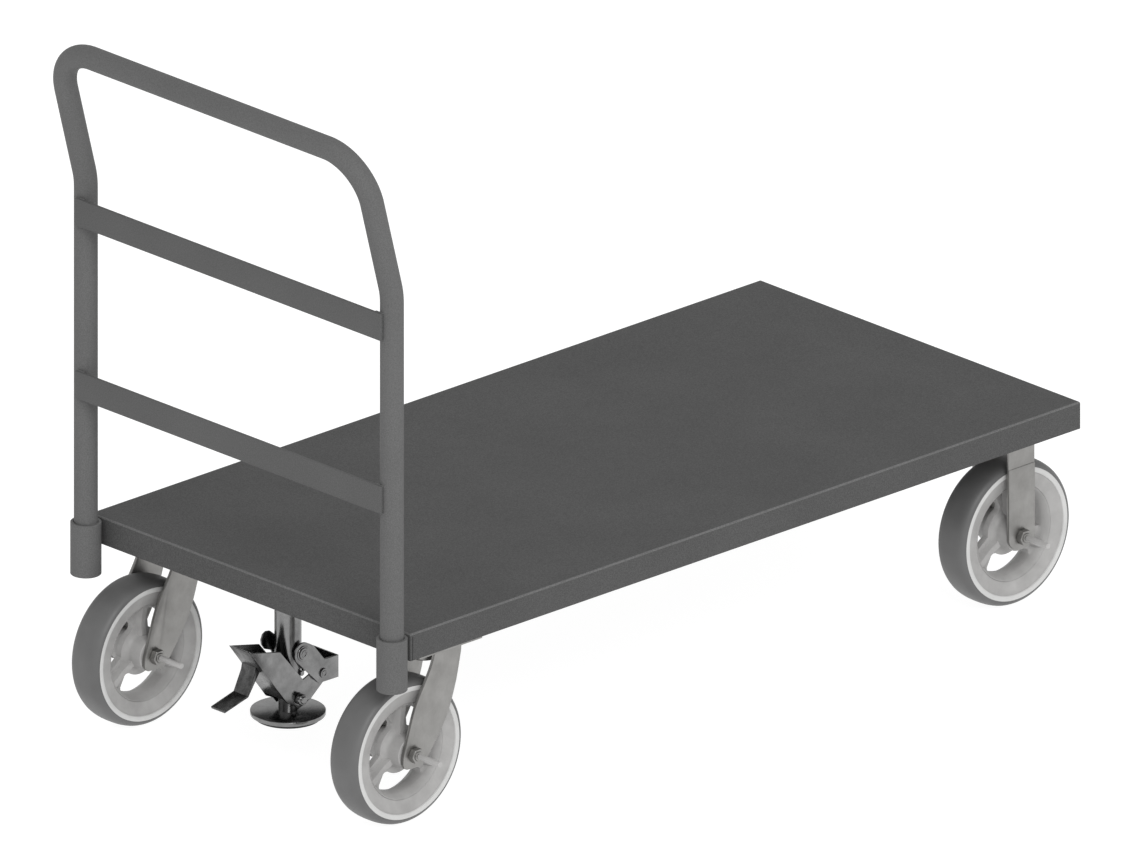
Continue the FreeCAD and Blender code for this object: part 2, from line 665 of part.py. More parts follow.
def make_lock_body():
    plate = new_body("lock_plate", "LockX", "0", PLATE_BOTTOM)
    sketch = sketch_on(plate, "XY_Plane")
    rectangle(sketch, ("-LockPlate / 2", "LockPlate / 2"), ("-LockPlate / 2", "LockPlate / 2"))
    for hole_x, hole_y in plate_holes("0", "0", "LockHoles", "LockHoles"):
        circle(sketch, "BoltDiameter / 2 + FitGap", hole_x, hole_y)
    pad(plate, sketch, "PlateThick")
    keep("lock_plate", plate)

    outside = cylinder("lock_tube_outside", "LockTube / 2", "LockTubeBottom", PLATE_BOTTOM, "LockX")
    inside = cylinder("lock_tube_inside", "StemDiameter / 2 + RunningGap", "LockTubeBottom",
                      PLATE_BOTTOM, "LockX")
    keep("lock_tube", cut("lock_tube_cut", outside, inside))

    studs = []
    bore = cylinder("stud_trim", "LockTube / 2", "LockTubeBottom - 10", PLATE_BOTTOM, "LockX")
    for number, side in enumerate((-1, 1)):
        def reach(radius, pivot, near, far, label):
            low, high = (near, far) if side > 0 else (f"-({far})", f"-({near})")
            return lock_bar(f"{label}_{number}", radius, pivot, low, high)

        stud = reach("PivotDiameter / 2", LINK_PIVOT, "15", "LinkOuter / 2 + 2.6", "stud")
        head = reach("8", LINK_PIVOT, "LinkOuter / 2 + 0.3", "LinkOuter / 2 + 2.6", "stud_head")
        stop = reach("3.2", ("6.5", "-117.5"), "15", "LinkInner / 2 - 0.4", "stop_pin")
        studs.append(fuse(f"studs_{number}", [fuse(f"pivot_{number}", [stud, head]), stop]))
    keep("lock_studs", cut("lock_studs_cut", group("lock_studs_all", studs), bore))

    coil = doc.addObject("Part::Helix", "spring_line")
    coil.setExpression("Height", bound(f"{PLATE_BOTTOM} - StemTop - 4"))
    coil.Pitch = 4.2
    coil.Radius = 7
    place(coil, "LockX", "0", "StemTop + 2")
    wire = sized("Part::Circle", "spring_wire", Radius="1.2")
    place(wire, "LockX + 7", "0", "StemTop + 2", (1, 0, 0), 90)
    spring = doc.addObject("Part::Sweep", "spring")
    spring.Sections = [wire]
    doc.recompute()
    spring.Spine = (coil, [f"Edge{number + 1}" for number in range(len(coil.Shape.Edges))])
    spring.Solid = True
    spring.Frenet = True
    keep("lock_return_spring", spring)


def make_lock_plunger():
    rod = cylinder("stem_rod", "StemDiameter / 2", "PadTop", "StemTop", "LockX")
    cross = lock_bar("stem_hole", "PivotDiameter / 2", PEDAL_PIVOT, "-20", "20")
    keep("lock_stem", cut("lock_stem", rod, cross))
    bottom = "PadTop - PadThick"
    disc = cylinder("pad_disc", "PadDiameter / 2", bottom, "PadTop", "LockX")
    keep("lock_foot_disc", disc)
    keep("lock_foot_pad", cylinder("foot_pad", "PadDiameter / 2 - 6", f"{bottom} - 5", bottom, "LockX"))
    bar = lock_bar("pedal_bar", "PivotDiameter / 2", PEDAL_PIVOT, "-PedalOuter / 2 - 11",
                   "PedalOuter / 2 + 11")
    left = lock_bar("pedal_nut_left", "7.5", PEDAL_PIVOT, "PedalOuter / 2 + 0.3", "PedalOuter / 2 + 8.5")
    right = lock_bar("pedal_nut_right", "7.5", PEDAL_PIVOT, "-PedalOuter / 2 - 8.5",
                     "-PedalOuter / 2 - 0.3")
    keep("pedal_pin", fuse("pedal_pin", [bar, left, right]))


def make_lock_link():
    """Channel-shaped link: two flanges that hang on the studs, joined by a web at the far end."""
    link = new_body("link_yoke", "LockX", "0", DECK_BOTTOM)
    flange = sketch_on(link, "XZ_Plane")
    outline(flange, [
        ("16", "-77"), ("23.8", "-81.5"), ("44", "-106.5"), ("69.3", "-106.9"), ("69.3", "-138.2"),
        ("33.9", "-137.7"), ("-6", "-98"),
    ])
    pad(link, flange, "LinkOuter", symmetric=True)
    ear = sketch_on(link, "XZ_Plane")
    circle(ear, "15", *LINK_PIVOT)
    pad(link, ear, "LinkOuter", symmetric=True)
    hollow = sketch_on(link, "XZ_Plane")
    rectangle(hollow, ("-40", "66.8"), ("-160", "-50"))
    pocket(link, hollow, "LinkInner", symmetric=True)
    for pivot, radius in (
        (LINK_PIVOT, "PivotDiameter / 2 + RunningGap"),
        (KNEE_PIVOT, "4"),
    ):
        eye = sketch_on(link, "XZ_Plane")
        circle(eye, radius, *pivot)
        pocket(link, eye, "LinkOuter + 2", symmetric=True)
    lobe = sketch_on(link, "XZ_Plane", "-LinkOuter / 2")
    outline(lobe, [
        ("-22", "-87"), ("-27", "-80"), ("-28", "-73"), ("-25", "-66"), ("-19", "-63"), ("-12", "-64"),
        ("0.5", "-74.5"), ("-9", "-92"),
    ])
    pad(link, lobe, "(LinkOuter - LinkInner) / 2")
    keep("link_yoke", link)
    bar = lock_bar("knee_bar", "4", KNEE_PIVOT, "-LinkOuter / 2 - 1.6", "LinkOuter / 2 + 1.6")
    left = lock_bar("knee_head_left", "6.5", KNEE_PIVOT, "LinkOuter / 2", "LinkOuter / 2 + 1.5")
    right = lock_bar("knee_head_right", "6.5", KNEE_PIVOT, "-LinkOuter / 2 - 1.5", "-LinkOuter / 2")
    keep("knee_rivet", fuse("knee_rivet", [bar, left, right]))


def make_lock_pedal():
    """Channel-shaped pedal: two flanges beside the stem, joined by the sloping web that is trodden."""
    pedal = new_body("pedal_yoke", "LockX", "0", DECK_BOTTOM)
    flange = sketch_on(pedal, "XZ_Plane")
    outline(flange, [
        ("-87.9", "-64"), ("-34", "-76.3"), ("-28.9", "-82.4"), ("8", "-126.4"), ("38", "-114.6"),
        ("52", "-133"), ("23", "-156.4"), ("-2.1", "-166.6"), ("-8.8", "-158.3"), ("-21.4", "-152.4"),
    ])
    pad(pedal, flange, "PedalOuter", symmetric=True)
    ear = sketch_on(pedal, "XZ_Plane")
    circle(ear, "12", *KNEE_PIVOT)
    pad(pedal, ear, "PedalOuter", symmetric=True)
    hollow = sketch_on(pedal, "XZ_Plane")
    outline(hollow, [
        ("-97.9", "-46.5"), ("-22.4", "-147"), ("-40", "-147"), ("-40", "-182.9"), ("90", "-182.9"),
        ("90", "-46.5"),
    ])
    pocket(pedal, hollow, "PedalInner", symmetric=True)
    for pivot, radius in (
        (PEDAL_PIVOT, "PivotDiameter / 2 + RunningGap"),
        (KNEE_PIVOT, "8"),
    ):
        eye = sketch_on(pedal, "XZ_Plane")
        circle(eye, radius, *pivot)
        pocket(pedal, eye, "PedalOuter + 2", symmetric=True)
    keep("pedal_yoke", pedal)

    lever = new_body("foot_lever", "LockX", "6", DECK_BOTTOM)
    strip = sketch_on(lever, "XZ_Plane")
    outline(strip, [
        ("-58.5", "-103.1"), ("-66", "-93.1"), ("-67.5", "-101.5"), ("-81.1", "-129.4"),
        ("-122.3", "-140.2"), ("-121.5", "-143.5"), ("-78.6", "-132.5"),
    ])
    pad(lever, strip, "26", symmetric=True)
    keep("foot_lever", lever)


make_deck()
make_channels()
make_sockets()
make_handle()
make_plate_bolts()
rigid_sets = []
for side_name, side_sign in SIDES.items():
    make_swivel_caster(side_name, side_sign)
    rigid_sets.append(make_rigid_caster(side_name, side_sign))
bolt_left, bolt_right = (axle_set[0] for axle_set in rigid_sets)
keep("rigid_axles", group("rigid_axles", [bolt_left, bolt_right]))
keep("rigid_sleeves", group("rigid_sleeves", [axle_set[1] for axle_set in rigid_sets]))
keep("rigid_axle_nuts", group("rigid_axle_nuts", rigid_sets[0][2] + rigid_sets[1][2]))
keep("rigid_grease_tubes", group("rigid_grease_tubes", rigid_sets[0][3] + rigid_sets[1][3]))
make_lock_body()
make_lock_plunger()
make_lock_link()
make_lock_pedal()
doc.recompute()

problems = [
    f"{thing.Name}: {thing.State}"
    for thing in doc.Objects
    if "Invalid" in thing.State or "Error" in thing.State
]
for node, thing in nodes.items():
    if thing.Shape.isNull() or not thing.Shape.isValid() or not thing.Shape.Solids:
        problems.append(f"{node}: no valid solid")
if problems:
    raise RuntimeError("; ".join(problems))

os.makedirs("parts", exist_ok=True)
for node, thing in nodes.items():
    thing.Shape.exportStep(f"parts/{node}.step")
print(len(nodes), "nodes")
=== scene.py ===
import math

import bmesh
import bpy
from mathutils import Matrix, Vector


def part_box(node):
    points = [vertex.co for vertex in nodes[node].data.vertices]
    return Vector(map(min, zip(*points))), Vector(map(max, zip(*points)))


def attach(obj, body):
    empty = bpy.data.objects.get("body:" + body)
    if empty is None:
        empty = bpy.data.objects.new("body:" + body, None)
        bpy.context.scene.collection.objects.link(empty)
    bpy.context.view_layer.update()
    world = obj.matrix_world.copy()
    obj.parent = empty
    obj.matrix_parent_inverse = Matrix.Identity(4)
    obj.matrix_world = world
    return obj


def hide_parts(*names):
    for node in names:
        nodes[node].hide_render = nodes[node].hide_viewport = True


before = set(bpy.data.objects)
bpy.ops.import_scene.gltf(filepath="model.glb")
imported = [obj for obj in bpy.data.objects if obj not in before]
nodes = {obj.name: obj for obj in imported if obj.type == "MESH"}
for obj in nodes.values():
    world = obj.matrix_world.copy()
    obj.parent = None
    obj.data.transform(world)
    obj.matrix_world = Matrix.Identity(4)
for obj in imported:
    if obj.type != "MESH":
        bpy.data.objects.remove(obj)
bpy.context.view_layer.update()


# The deck pan: one steel sheet with its four sides bent down, and open mitred corners whose seams
# were ground but not filled. The cross channels and stiffeners are welded inside it, and all of it
# has a baked powder coat. Over the bends the coat is a little glossier, and it is painted lighter as
# a painted highlight along the edges.

deck_low, deck_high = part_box("deck_pan")
SHEET = 0.00266
EDGE_RADIUS = 0.0031
CORNER_RADIUS = 0.0016
BEND_STEPS = 6
SEAM_INSET = 0.0042
SEAM_HALF_WIDTH = 0.0007
SEAM_DEPTH = 0.0012
CHANNEL_EDGE = 0.0012


def linear(code):
    """A linear colour from an sRGB hex value such as "#808080"."""
    parts = [int(code[i:i + 2], 16) / 255 for i in (1, 3, 5)]
    return [p / 12.92 if p <= 0.04045 else ((p + 0.055) / 1.055) ** 2.4 for p in parts] + [1.0]


def new_material(name):
    """A material, with its node tree and its shader."""
    material = bpy.data.materials.new(name)
    material.use_nodes = True
    return material, material.node_tree, material.node_tree.nodes["Principled BSDF"]


def add(tree, kind, settings=(), inputs=(), links=()):
    """One node with its settings, the values of its sockets, and what is plugged into them."""
    node = tree.nodes.new(kind)
    for name, value in dict(settings).items():
        setattr(node, name, value)
    for name, value in dict(inputs).items():
        node.inputs[name].default_value = value
    for name, source in dict(links).items():
        tree.links.new(source, node.inputs[name])
    return node


def two_tone(tree, factor, low, high, dark, light):
    """A colour ramp between two hex colours, driven by a texture."""
    ramp = add(tree, "ShaderNodeValToRGB", links={"Fac": factor})
    ramp.color_ramp.elements[0].position = low
    ramp.color_ramp.elements[1].position = high
    ramp.color_ramp.elements[0].color = linear(dark)
    ramp.color_ramp.elements[1].color = linear(light)
    return ramp.outputs["Color"]


def spread(tree, source, low, high):
    """A texture's value carried onto the range of a roughness."""
    node = add(tree, "ShaderNodeMapRange", links={"Value": source},
               inputs={"To Min": low, "To Max": high})
    return node.outputs["Result"]


def grain(tree, place, size_mm, detail=2.0):
    """Noise whose features are about size_mm across."""
    node = add(tree, "ShaderNodeTexNoise", links={"Vector": place},
               inputs={"Scale": 1000 / size_mm, "Detail": detail, "Roughness": 0.6})
    return node.outputs["Fac"]


def powder_coat(name, dark, light, roughness):
    """Fine-textured polyester powder: matt, with a faint grain. The real grain, a few tenths of a
    millimetre, would be too fine to show, so it is drawn at 1.5 mm."""
    material, tree, shader = new_material(name)
    place = add(tree, "ShaderNodeTexCoord").outputs["Object"]
    fine = grain(tree, place, 1.5, 2.0)
    broad = grain(tree, place, 160.0, 2.0)
    speckle = two_tone(tree, fine, 0.34, 0.66, dark, light)
    clouds = two_tone(tree, broad, 0.3, 0.7, "#f3f3f3", "#ffffff")
    mix = add(tree, "ShaderNodeMix", {"data_type": "RGBA", "blend_type": "MULTIPLY"})
    mix.inputs["Factor"].default_value = 1.0
    tree.links.new(speckle, mix.inputs["A"])
    tree.links.new(clouds, mix.inputs["B"])
    tree.links.new(mix.outputs["Result"], shader.inputs["Base Color"])
    tree.links.new(spread(tree, fine, roughness - 0.08, roughness + 0.1), shader.inputs["Roughness"])
    bump = add(tree, "ShaderNodeBump", links={"Height": fine},
               inputs={"Strength": 0.10, "Distance": 0.0004})
    tree.links.new(bump.outputs["Normal"], shader.inputs["Normal"])
    shader.inputs["IOR"].default_value = 1.5
    shader.inputs["Specular IOR Level"].default_value = 0.12
    return material


deck_coat = powder_coat("powder_coat_deck", "#484848", "#5b5b5b", 0.70)


def new_piece(name, bm):
    """An object at the origin that holds the geometry."""
    mesh = bpy.data.meshes.new(name)
    bm.to_mesh(mesh)
    bm.free()
    piece = bpy.data.objects.new(name, mesh)
    bpy.context.scene.collection.objects.link(piece)
    return piece


def loose(name, bm):
    """A solid that is still to be cut, joined or finished."""
    bmesh.ops.recalc_face_normals(bm, faces=bm.faces)
    return new_piece(name, bm)


def dress(piece, material, body, standing_for, smooth=35.0):
    """Gives a piece its finish, and sets it on a body in place of CAD nodes."""
    mesh = piece.data
    mesh.materials.clear()
    mesh.materials.append(material)
    mesh.shade_smooth()
    mesh.set_sharp_from_angle(angle=math.radians(smooth))
    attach(piece, body)
    if standing_for:
        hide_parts(*standing_for)
    return piece


def mesh_piece(name, bm, material, body, standing_for, smooth=35.0):
    """Geometry made straight into a finished piece."""
    bmesh.ops.remove_doubles(bm, verts=bm.verts, dist=1e-6)
    return dress(loose(name, bm), material, body, standing_for, smooth)


def repaint(node, material):
    """Gives a CAD node that stays as it is a finish of its own."""
    nodes[node].data.materials.clear()
    nodes[node].data.materials.append(material)


def baked(piece):
    """The piece's modifiers made part of its mesh."""
    graph = bpy.context.evaluated_depsgraph_get()
    mesh = bpy.data.meshes.new_from_object(piece.evaluated_get(graph))
    piece.modifiers.clear()
    piece.data = mesh
    return piece


def combine(piece, tools, operation):
    """Adds or cuts away other solids, then takes them out of the scene."""
    for tool in tools:
        modifier = piece.modifiers.new(operation, "BOOLEAN")
        modifier.object = tool
        modifier.operation = operation
        modifier.solver = "EXACT"
    bpy.context.view_layer.update()
    baked(piece)
    for tool in tools:
        bpy.data.objects.remove(tool)
    return piece


def rounded_off(piece, radius, segments, angle):
    """The piece with its edges rounded wherever its faces turn by more than the angle."""
    bevel = piece.modifiers.new("rounded", "BEVEL")
    bevel.width = radius
    bevel.segments = segments
    bevel.limit_method = "ANGLE"
    bevel.angle_limit = math.radians(angle)
    bpy.context.view_layer.update()
    return baked(piece)


def eased_copy(name, node, radius, segments=2, angle=28.0):
    """A copy of a CAD node with its flat faces whole again and its edges rounded."""
    bm = bmesh.new()
    bm.from_mesh(nodes[node].data)
    bmesh.ops.remove_doubles(bm, verts=bm.verts, dist=2e-6)
    bmesh.ops.dissolve_limit(bm, angle_limit=math.radians(1.0), verts=bm.verts, edges=bm.edges)
    return rounded_off(new_piece(name, bm), radius, segments, angle)


def rounded_corners(low, high, inset, radius, count):
    """A rectangle with round corners, inset from the deck's outline."""
    points = []
    reach = max(radius, 1e-5)
    for sx, sy, start in ((1, 1, 0), (-1, 1, 90), (-1, -1, 180), (1, -1, 270)):
        cx = (high.x if sx > 0 else low.x) - sx * (inset + reach)
        cy = (high.y if sy > 0 else low.y) - sy * (inset + reach)
        for step in range(count + 1):
            angle = math.radians(start + 90 * step / count)
            points.append((cx + reach * math.cos(angle), cy + reach * math.sin(angle)))
    return points


def deck_pan():
    """The sheet as rings: up the outside, over the bend to the top, and back down the inside."""
    bm = bmesh.new()
    rings = []
    outside = [(0.0, deck_low.z), (0.0, deck_high.z - EDGE_RADIUS)]
    for step in range(1, BEND_STEPS + 1):
        angle = math.radians(90 * step / BEND_STEPS)
        inset = EDGE_RADIUS * (1 - math.cos(angle))
        outside.append((inset, deck_high.z - EDGE_RADIUS * (1 - math.sin(angle))))
    inner = EDGE_RADIUS - SHEET
    inside = []
    for step in range(BEND_STEPS, -1, -1):
        angle = math.radians(90 * step / BEND_STEPS)
        inset = SHEET + inner * (1 - math.cos(angle))
        inside.append((inset, deck_high.z - EDGE_RADIUS + inner * math.sin(angle)))
    inside.append((SHEET, deck_low.z))
    for inset, height in outside + inside:
        radius = max(CORNER_RADIUS - min(inset, SHEET) * 0.4, 0.0006)
        corners = rounded_corners(deck_low, deck_high, inset, radius, 4)
        rings.append([bm.verts.new((x, y, height)) for x, y in corners])
    count = len(rings[0])
    for lower, upper in zip(rings, rings[1:]):
        if lower is rings[len(outside) - 1]:
            continue
        for i in range(count):
            j = (i + 1) % count
            bm.faces.new((lower[i], lower[j], upper[j], upper[i]))
    bm.faces.new(rings[len(outside) - 1])
    bm.faces.new(rings[len(outside)])
    for i in range(count):
        j = (i + 1) % count
        bm.faces.new((rings[0][i], rings[0][j], rings[-1][j], rings[-1][i]))
    return mesh_piece("deck_sheet", bm, deck_coat, "deck", ["deck_pan"])


def upright(points, low, high):
    """An outline in X and Y pushed up from one height to another, for cutting or joining."""
    bm = bmesh.new()
    lower = [bm.verts.new((x, y, low)) for x, y in points]
    upper = [bm.verts.new((x, y, high)) for x, y in points]
    bm.faces.new(lower[::-1])
    bm.faces.new(upper)
    for i in range(len(points)):
        j = (i + 1) % len(points)
        bm.faces.new((lower[i], lower[j], upper[j], upper[i]))
    return loose("upright", bm)


def block(low, high):
    """A plain box between two corners."""
    corners = [(low[0], low[1]), (high[0], low[1]), (high[0], high[1]), (low[0], high[1])]
    return upright(corners, low[2], high[2])


def corner_seams():
    """A shallow upright slot at each handle-end corner, where the side flange stops short of the
    end flange."""
    near, far = deck_low.x + SEAM_INSET - SEAM_HALF_WIDTH, deck_low.x + SEAM_INSET + SEAM_HALF_WIDTH
    tools = []
    for side in (-1, 1):
        inner, outer = sorted(side * (deck_high.y + way * SEAM_DEPTH) for way in (-1, 1))
        tools.append(block((near, inner, deck_low.z - 0.001), (far, outer, deck_high.z - 0.0045)))
    return tools


deck = deck_pan()
combine(deck, corner_seams(), "DIFFERENCE")
# The bend faces along the top edge take a lighter coat, which is a painted highlight, and a slightly
# lower roughness.
deck.data.materials.append(powder_coat("powder_coat_painted_bend_highlight", "#5c5c5c", "#747474", 0.60))
for face in deck.data.polygons:
    if face.center.z > deck_high.z - EDGE_RADIUS and 0.15 < face.normal.z < 0.97:
        face.material_index = 1

for node in ("front_channel", "rear_channel", "deck_stiffeners"):
    piece = eased_copy(f"{node}_folded", node, CHANNEL_EDGE)
    dress(piece, deck_coat, "deck", [node])


# The handle: one length of steel tube, cold bent at both top corners and at both knees, with two
# flat bars welded across its posts on the side of the person who pushes. Its feet stand in the sockets.

tube_low, tube_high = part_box("handle_tube")
TUBE_RADIUS = 0.015875
POST_Y = tube_high.y - TUBE_RADIUS
POST_X = tube_high.x - TUBE_RADIUS
RAIL_Z = tube_high.z - TUBE_RADIUS
KNEE_Z = 0.76815
LEAN = math.radians(14.7)
KNEE_RADIUS = 0.100
TOP_CORNER_RADIUS = 0.068
BAR_EDGE = 0.0007
tube_coat = powder_coat("powder_coat_tube", "#5c5c5c", "#6a6a6a", 0.60)
bar_coat = powder_coat("powder_coat_bar", "#555555", "#636363", 0.65)


def bent_line(points, radii, step_degrees=3.0):
    """Points along straight runs joined by tangent arcs."""
    route = [points[0]]
    for before, bend, after, radius in zip(points, points[1:], points[2:], radii):
        into = (bend - before).normalized()
        out = (after - bend).normalized()
        turn = into.angle(out)
        centre = bend + (out - into).normalized() * (radius / math.cos(turn / 2))
        spoke = bend - into * (radius * math.tan(turn / 2)) - centre
        axis = into.cross(out).normalized()
        count = max(2, round(math.degrees(turn) / step_degrees))
        for i in range(count + 1):
            route.append(centre + Matrix.Rotation(turn * i / count, 3, axis) @ spoke)
    return route + [points[-1]]


def pipe(bm, route, radius, sides=40):
    """A round bar along a route, with flat ends."""
    rings = []
    across = Vector((1, 0, 0))
    for i, point in enumerate(route):
        before = route[max(i - 1, 0)]
        after = route[min(i + 1, len(route) - 1)]
        along = (after - before).normalized()
        across = (across - along * across.dot(along)).normalized()
        other = along.cross(across)
        ring = []
        for k in range(sides):
            angle = 2 * math.pi * k / sides
            spoke = math.cos(angle) * across + math.sin(angle) * other
            ring.append(bm.verts.new(point + radius * spoke))
        rings.append(ring)
    for lower, upper in zip(rings, rings[1:]):
        for k in range(sides):
            m = (k + 1) % sides
            bm.faces.new((lower[k], lower[m], upper[m], upper[k]))
    bm.faces.new(rings[0][::-1])
    bm.faces.new(rings[-1])


def handle():
    """The tube's centre line runs up one post, leans back above the knee, and mirrors on the other."""
    rise = RAIL_Z - KNEE_Z
    foot = Vector((POST_X, -POST_Y, tube_low.z))
    knee = Vector((POST_X, -POST_Y, KNEE_Z))
    corner = Vector((POST_X - rise * math.tan(LEAN), -POST_Y, RAIL_Z))
    points = [foot, knee, corner]
    points += [Vector((p.x, -p.y, p.z)) for p in reversed(points)]
    route = bent_line(points, [KNEE_RADIUS, TOP_CORNER_RADIUS, TOP_CORNER_RADIUS, KNEE_RADIUS])
    bm = bmesh.new()
    pipe(bm, route, TUBE_RADIUS)
    return mesh_piece("push_handle", bm, tube_coat, "handle", ["handle_tube"])


handle()

for node in ("upper_crossbar", "lower_crossbar"):
    piece = eased_copy(f"{node}_flat", node, BAR_EDGE)
    dress(piece, bar_coat, "handle", [node])


# The weld beads: short fillets of steel laid where the bars meet the posts and where the sockets
# meet the deck's end flange, painted over with the rest. Geometry Nodes lay one ripple after another.

def bead_tree():
    """Ripples instanced along a curve: sizes come in by name."""
    tree = bpy.data.node_groups.new("weld bead", "GeometryNodeTree")
    tree.interface.new_socket("Geometry", in_out="INPUT", socket_type="NodeSocketGeometry")
    tree.interface.new_socket("Ripple radius", in_out="INPUT", socket_type="NodeSocketFloat")
    tree.interface.new_socket("Ripple pitch", in_out="INPUT", socket_type="NodeSocketFloat")
    tree.interface.new_socket("Coat", in_out="INPUT", socket_type="NodeSocketMaterial")
    tree.interface.new_socket("Geometry", in_out="OUTPUT", socket_type="NodeSocketGeometry")
    start = add(tree, "NodeGroupInput").outputs
    points = add(tree, "GeometryNodeCurveToPoints", {"mode": "LENGTH"},
                 links={"Curve": start["Geometry"], "Length": start["Ripple pitch"]})
    ripple = add(tree, "GeometryNodeMeshUVSphere", inputs={"Segments": 10, "Rings": 6},
                 links={"Radius": start["Ripple radius"]})
    size = add(tree, "FunctionNodeRandomValue", {"data_type": "FLOAT"}, inputs={"Seed": 4})
    size.inputs[2].default_value = 0.85
    size.inputs[3].default_value = 1.1
    laid = add(tree, "GeometryNodeInstanceOnPoints",
               links={"Points": points.outputs["Points"], "Instance": ripple.outputs["Mesh"],
                      "Scale": size.outputs[1]})
    real = add(tree, "GeometryNodeRealizeInstances", links={"Geometry": laid.outputs["Instances"]})
    coated = add(tree, "GeometryNodeSetMaterial",
                 links={"Geometry": real.outputs["Geometry"], "Material": start["Coat"]})
    add(tree, "NodeGroupOutput", links={"Geometry": coated.outputs["Geometry"]})
    return tree


weld_bead = bead_tree()


def set_inputs(modifier, values):
    """Sets a Geometry Nodes modifier's inputs by the names of the tree's sockets."""
    for item in modifier.node_group.interface.items_tree:
        if item.item_type == "SOCKET" and item.in_out == "INPUT" and item.name in values:
            modifier[item.identifier] = values[item.name]


def lay_beads(name, lines, radius, material, body):
    """Weld beads along straight lines, as one mesh."""
    curve = bpy.data.curves.new(name, "CURVE")
    curve.dimensions = "3D"
    for start, end in lines:
        spline = curve.splines.new("POLY")
        spline.points.add(1)
        spline.points[0].co = (*start, 1)
        spline.points[1].co = (*end, 1)
    line = bpy.data.objects.new(f"{name}_line", curve)
    bpy.context.scene.collection.objects.link(line)
    modifier = line.modifiers.new("bead", "NODES")
    modifier.node_group = weld_bead
    set_inputs(modifier, {"Ripple radius": radius, "Ripple pitch": radius * 0.7, "Coat": material})
    bpy.context.view_layer.update()
    mesh = bpy.data.meshes.new_from_object(line.evaluated_get(bpy.context.evaluated_depsgraph_get()))
    bpy.data.objects.remove(line)
    piece = bpy.data.objects.new(name, mesh)
    bpy.context.scene.collection.objects.link(piece)
    dress(piece, material, body, (), 60.0)


BAR_BEAD = 0.0012
SOCKET_BEAD = 0.0022
bar_lines = []
for node in ("upper_crossbar", "lower_crossbar"):
    low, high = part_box(node)
    x = high.x - 0.0004
    for side in (-1, 1):
        y = side * (POST_Y - 0.004)
        for z in (low.z, high.z):
            bar_lines.append(((x, y - side * 0.009, z), (x, y + side * 0.003, z)))
lay_beads("crossbar_welds", bar_lines, BAR_BEAD, tube_coat, "handle")

socket_lines = []
for side in (-1, 1):
    for offset in (-0.0062, 0.0062):
        x = deck_low.x - 0.0012
        y = side * POST_Y + offset
        socket_lines.append(((x, y, deck_low.z + 0.002), (x, y, deck_high.z - 0.006)))
lay_beads("socket_welds", socket_lines, SOCKET_BEAD, deck_coat, "deck")


# The sockets: cut lengths of heavier tube, welded upright to the deck's end flange. The handle's
# posts drop into them and stand on discs welded into their feet.

def turned(bm, profile, centre, axis, sides=96):
    """A closed outline of (radius, distance along the axis), spun round an axis through centre."""
    rings = []
    for radius, along in profile:
        ring = []
        for k in range(sides):
            angle = 2 * math.pi * k / sides
            a, b = radius * math.cos(angle), radius * math.sin(angle)
            offset = Vector((a, b, along)) if axis == "Z" else Vector((a, along, b))
            ring.append(bm.verts.new(centre + offset))
        rings.append(ring)
    for lower, upper in zip(rings, rings[1:] + rings[:1]):
        for k in range(sides):
            m = (k + 1) % sides
            bm.faces.new((lower[k], lower[m], upper[m], upper[k]))


SOCKET_BORE = 0.0163
SOCKET_EASE = 0.0006
for side, y in (("left", POST_Y), ("right", -POST_Y)):
    low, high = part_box(f"handle_socket_{side}")
    outer = (high.x - low.x) / 2
    ease = SOCKET_EASE
    profile = [
        (outer, low.z + ease), (outer, high.z - ease), (outer - ease, high.z),
        (SOCKET_BORE + ease, high.z), (SOCKET_BORE, high.z - ease),
        (SOCKET_BORE, low.z + ease), (SOCKET_BORE + ease, low.z), (outer - ease, low.z),
    ]
    bm = bmesh.new()
    turned(bm, profile, Vector((POST_X, y, 0)), "Z", 72)
    piece = mesh_piece(f"socket_tube_{side}", bm, tube_coat, "deck", [f"handle_socket_{side}"])
repaint("socket_stops", deck_coat)


# The tyres: polyurethane, cast and bonded onto the rim, then turned. A satin mid-grey whose tread
# is slightly crowned and falls away in a soft shoulder on both sides.

def tread_rubber():
    """Cast polyurethane: satin and even, with a faint mould texture."""
    material, tree, shader = new_material("cast_polyurethane")
    place = add(tree, "ShaderNodeTexCoord").outputs["Object"]
    fine = grain(tree, place, 3.0, 3.0)
    broad = grain(tree, place, 60.0, 2.0)
    colour = two_tone(tree, broad, 0.3, 0.7, "#555555", "#606060")
    tree.links.new(colour, shader.inputs["Base Color"])
    tree.links.new(spread(tree, fine, 0.42, 0.58), shader.inputs["Roughness"])
    bump = add(tree, "ShaderNodeBump", links={"Height": fine},
               inputs={"Strength": 0.08, "Distance": 0.0005})
    tree.links.new(bump.outputs["Normal"], shader.inputs["Normal"])
    shader.inputs["IOR"].default_value = 1.5
    return material


polyurethane = tread_rubber()
WHEELS = {
    "swivel_left": "swivel_wheel_left", "swivel_right": "swivel_wheel_right",
    "rigid_left": "rigid_wheel_left", "rigid_right": "rigid_wheel_right",
}
RIM_RADIUS = 0.092
TREAD_RADIUS = 0.1016
HALF_WIDTH = 0.0254


def tyre_outline():
    """Half of the tyre's section, from the rim over a soft shoulder to the crown of the tread."""
    return [
        (RIM_RADIUS, HALF_WIDTH), (0.0928, 0.0253), (0.0946, 0.0246), (0.0965, 0.0232), (0.0978, 0.0217),
        (0.0989, 0.0198), (0.1001, 0.0170), (0.1008, 0.0135), (0.1013, 0.0098), (0.10155, 0.0055),
        (TREAD_RADIUS, 0.0015),
    ]


def wheel_centre(name):
    low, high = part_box(f"{name}_tyre")
    return (low + high) / 2


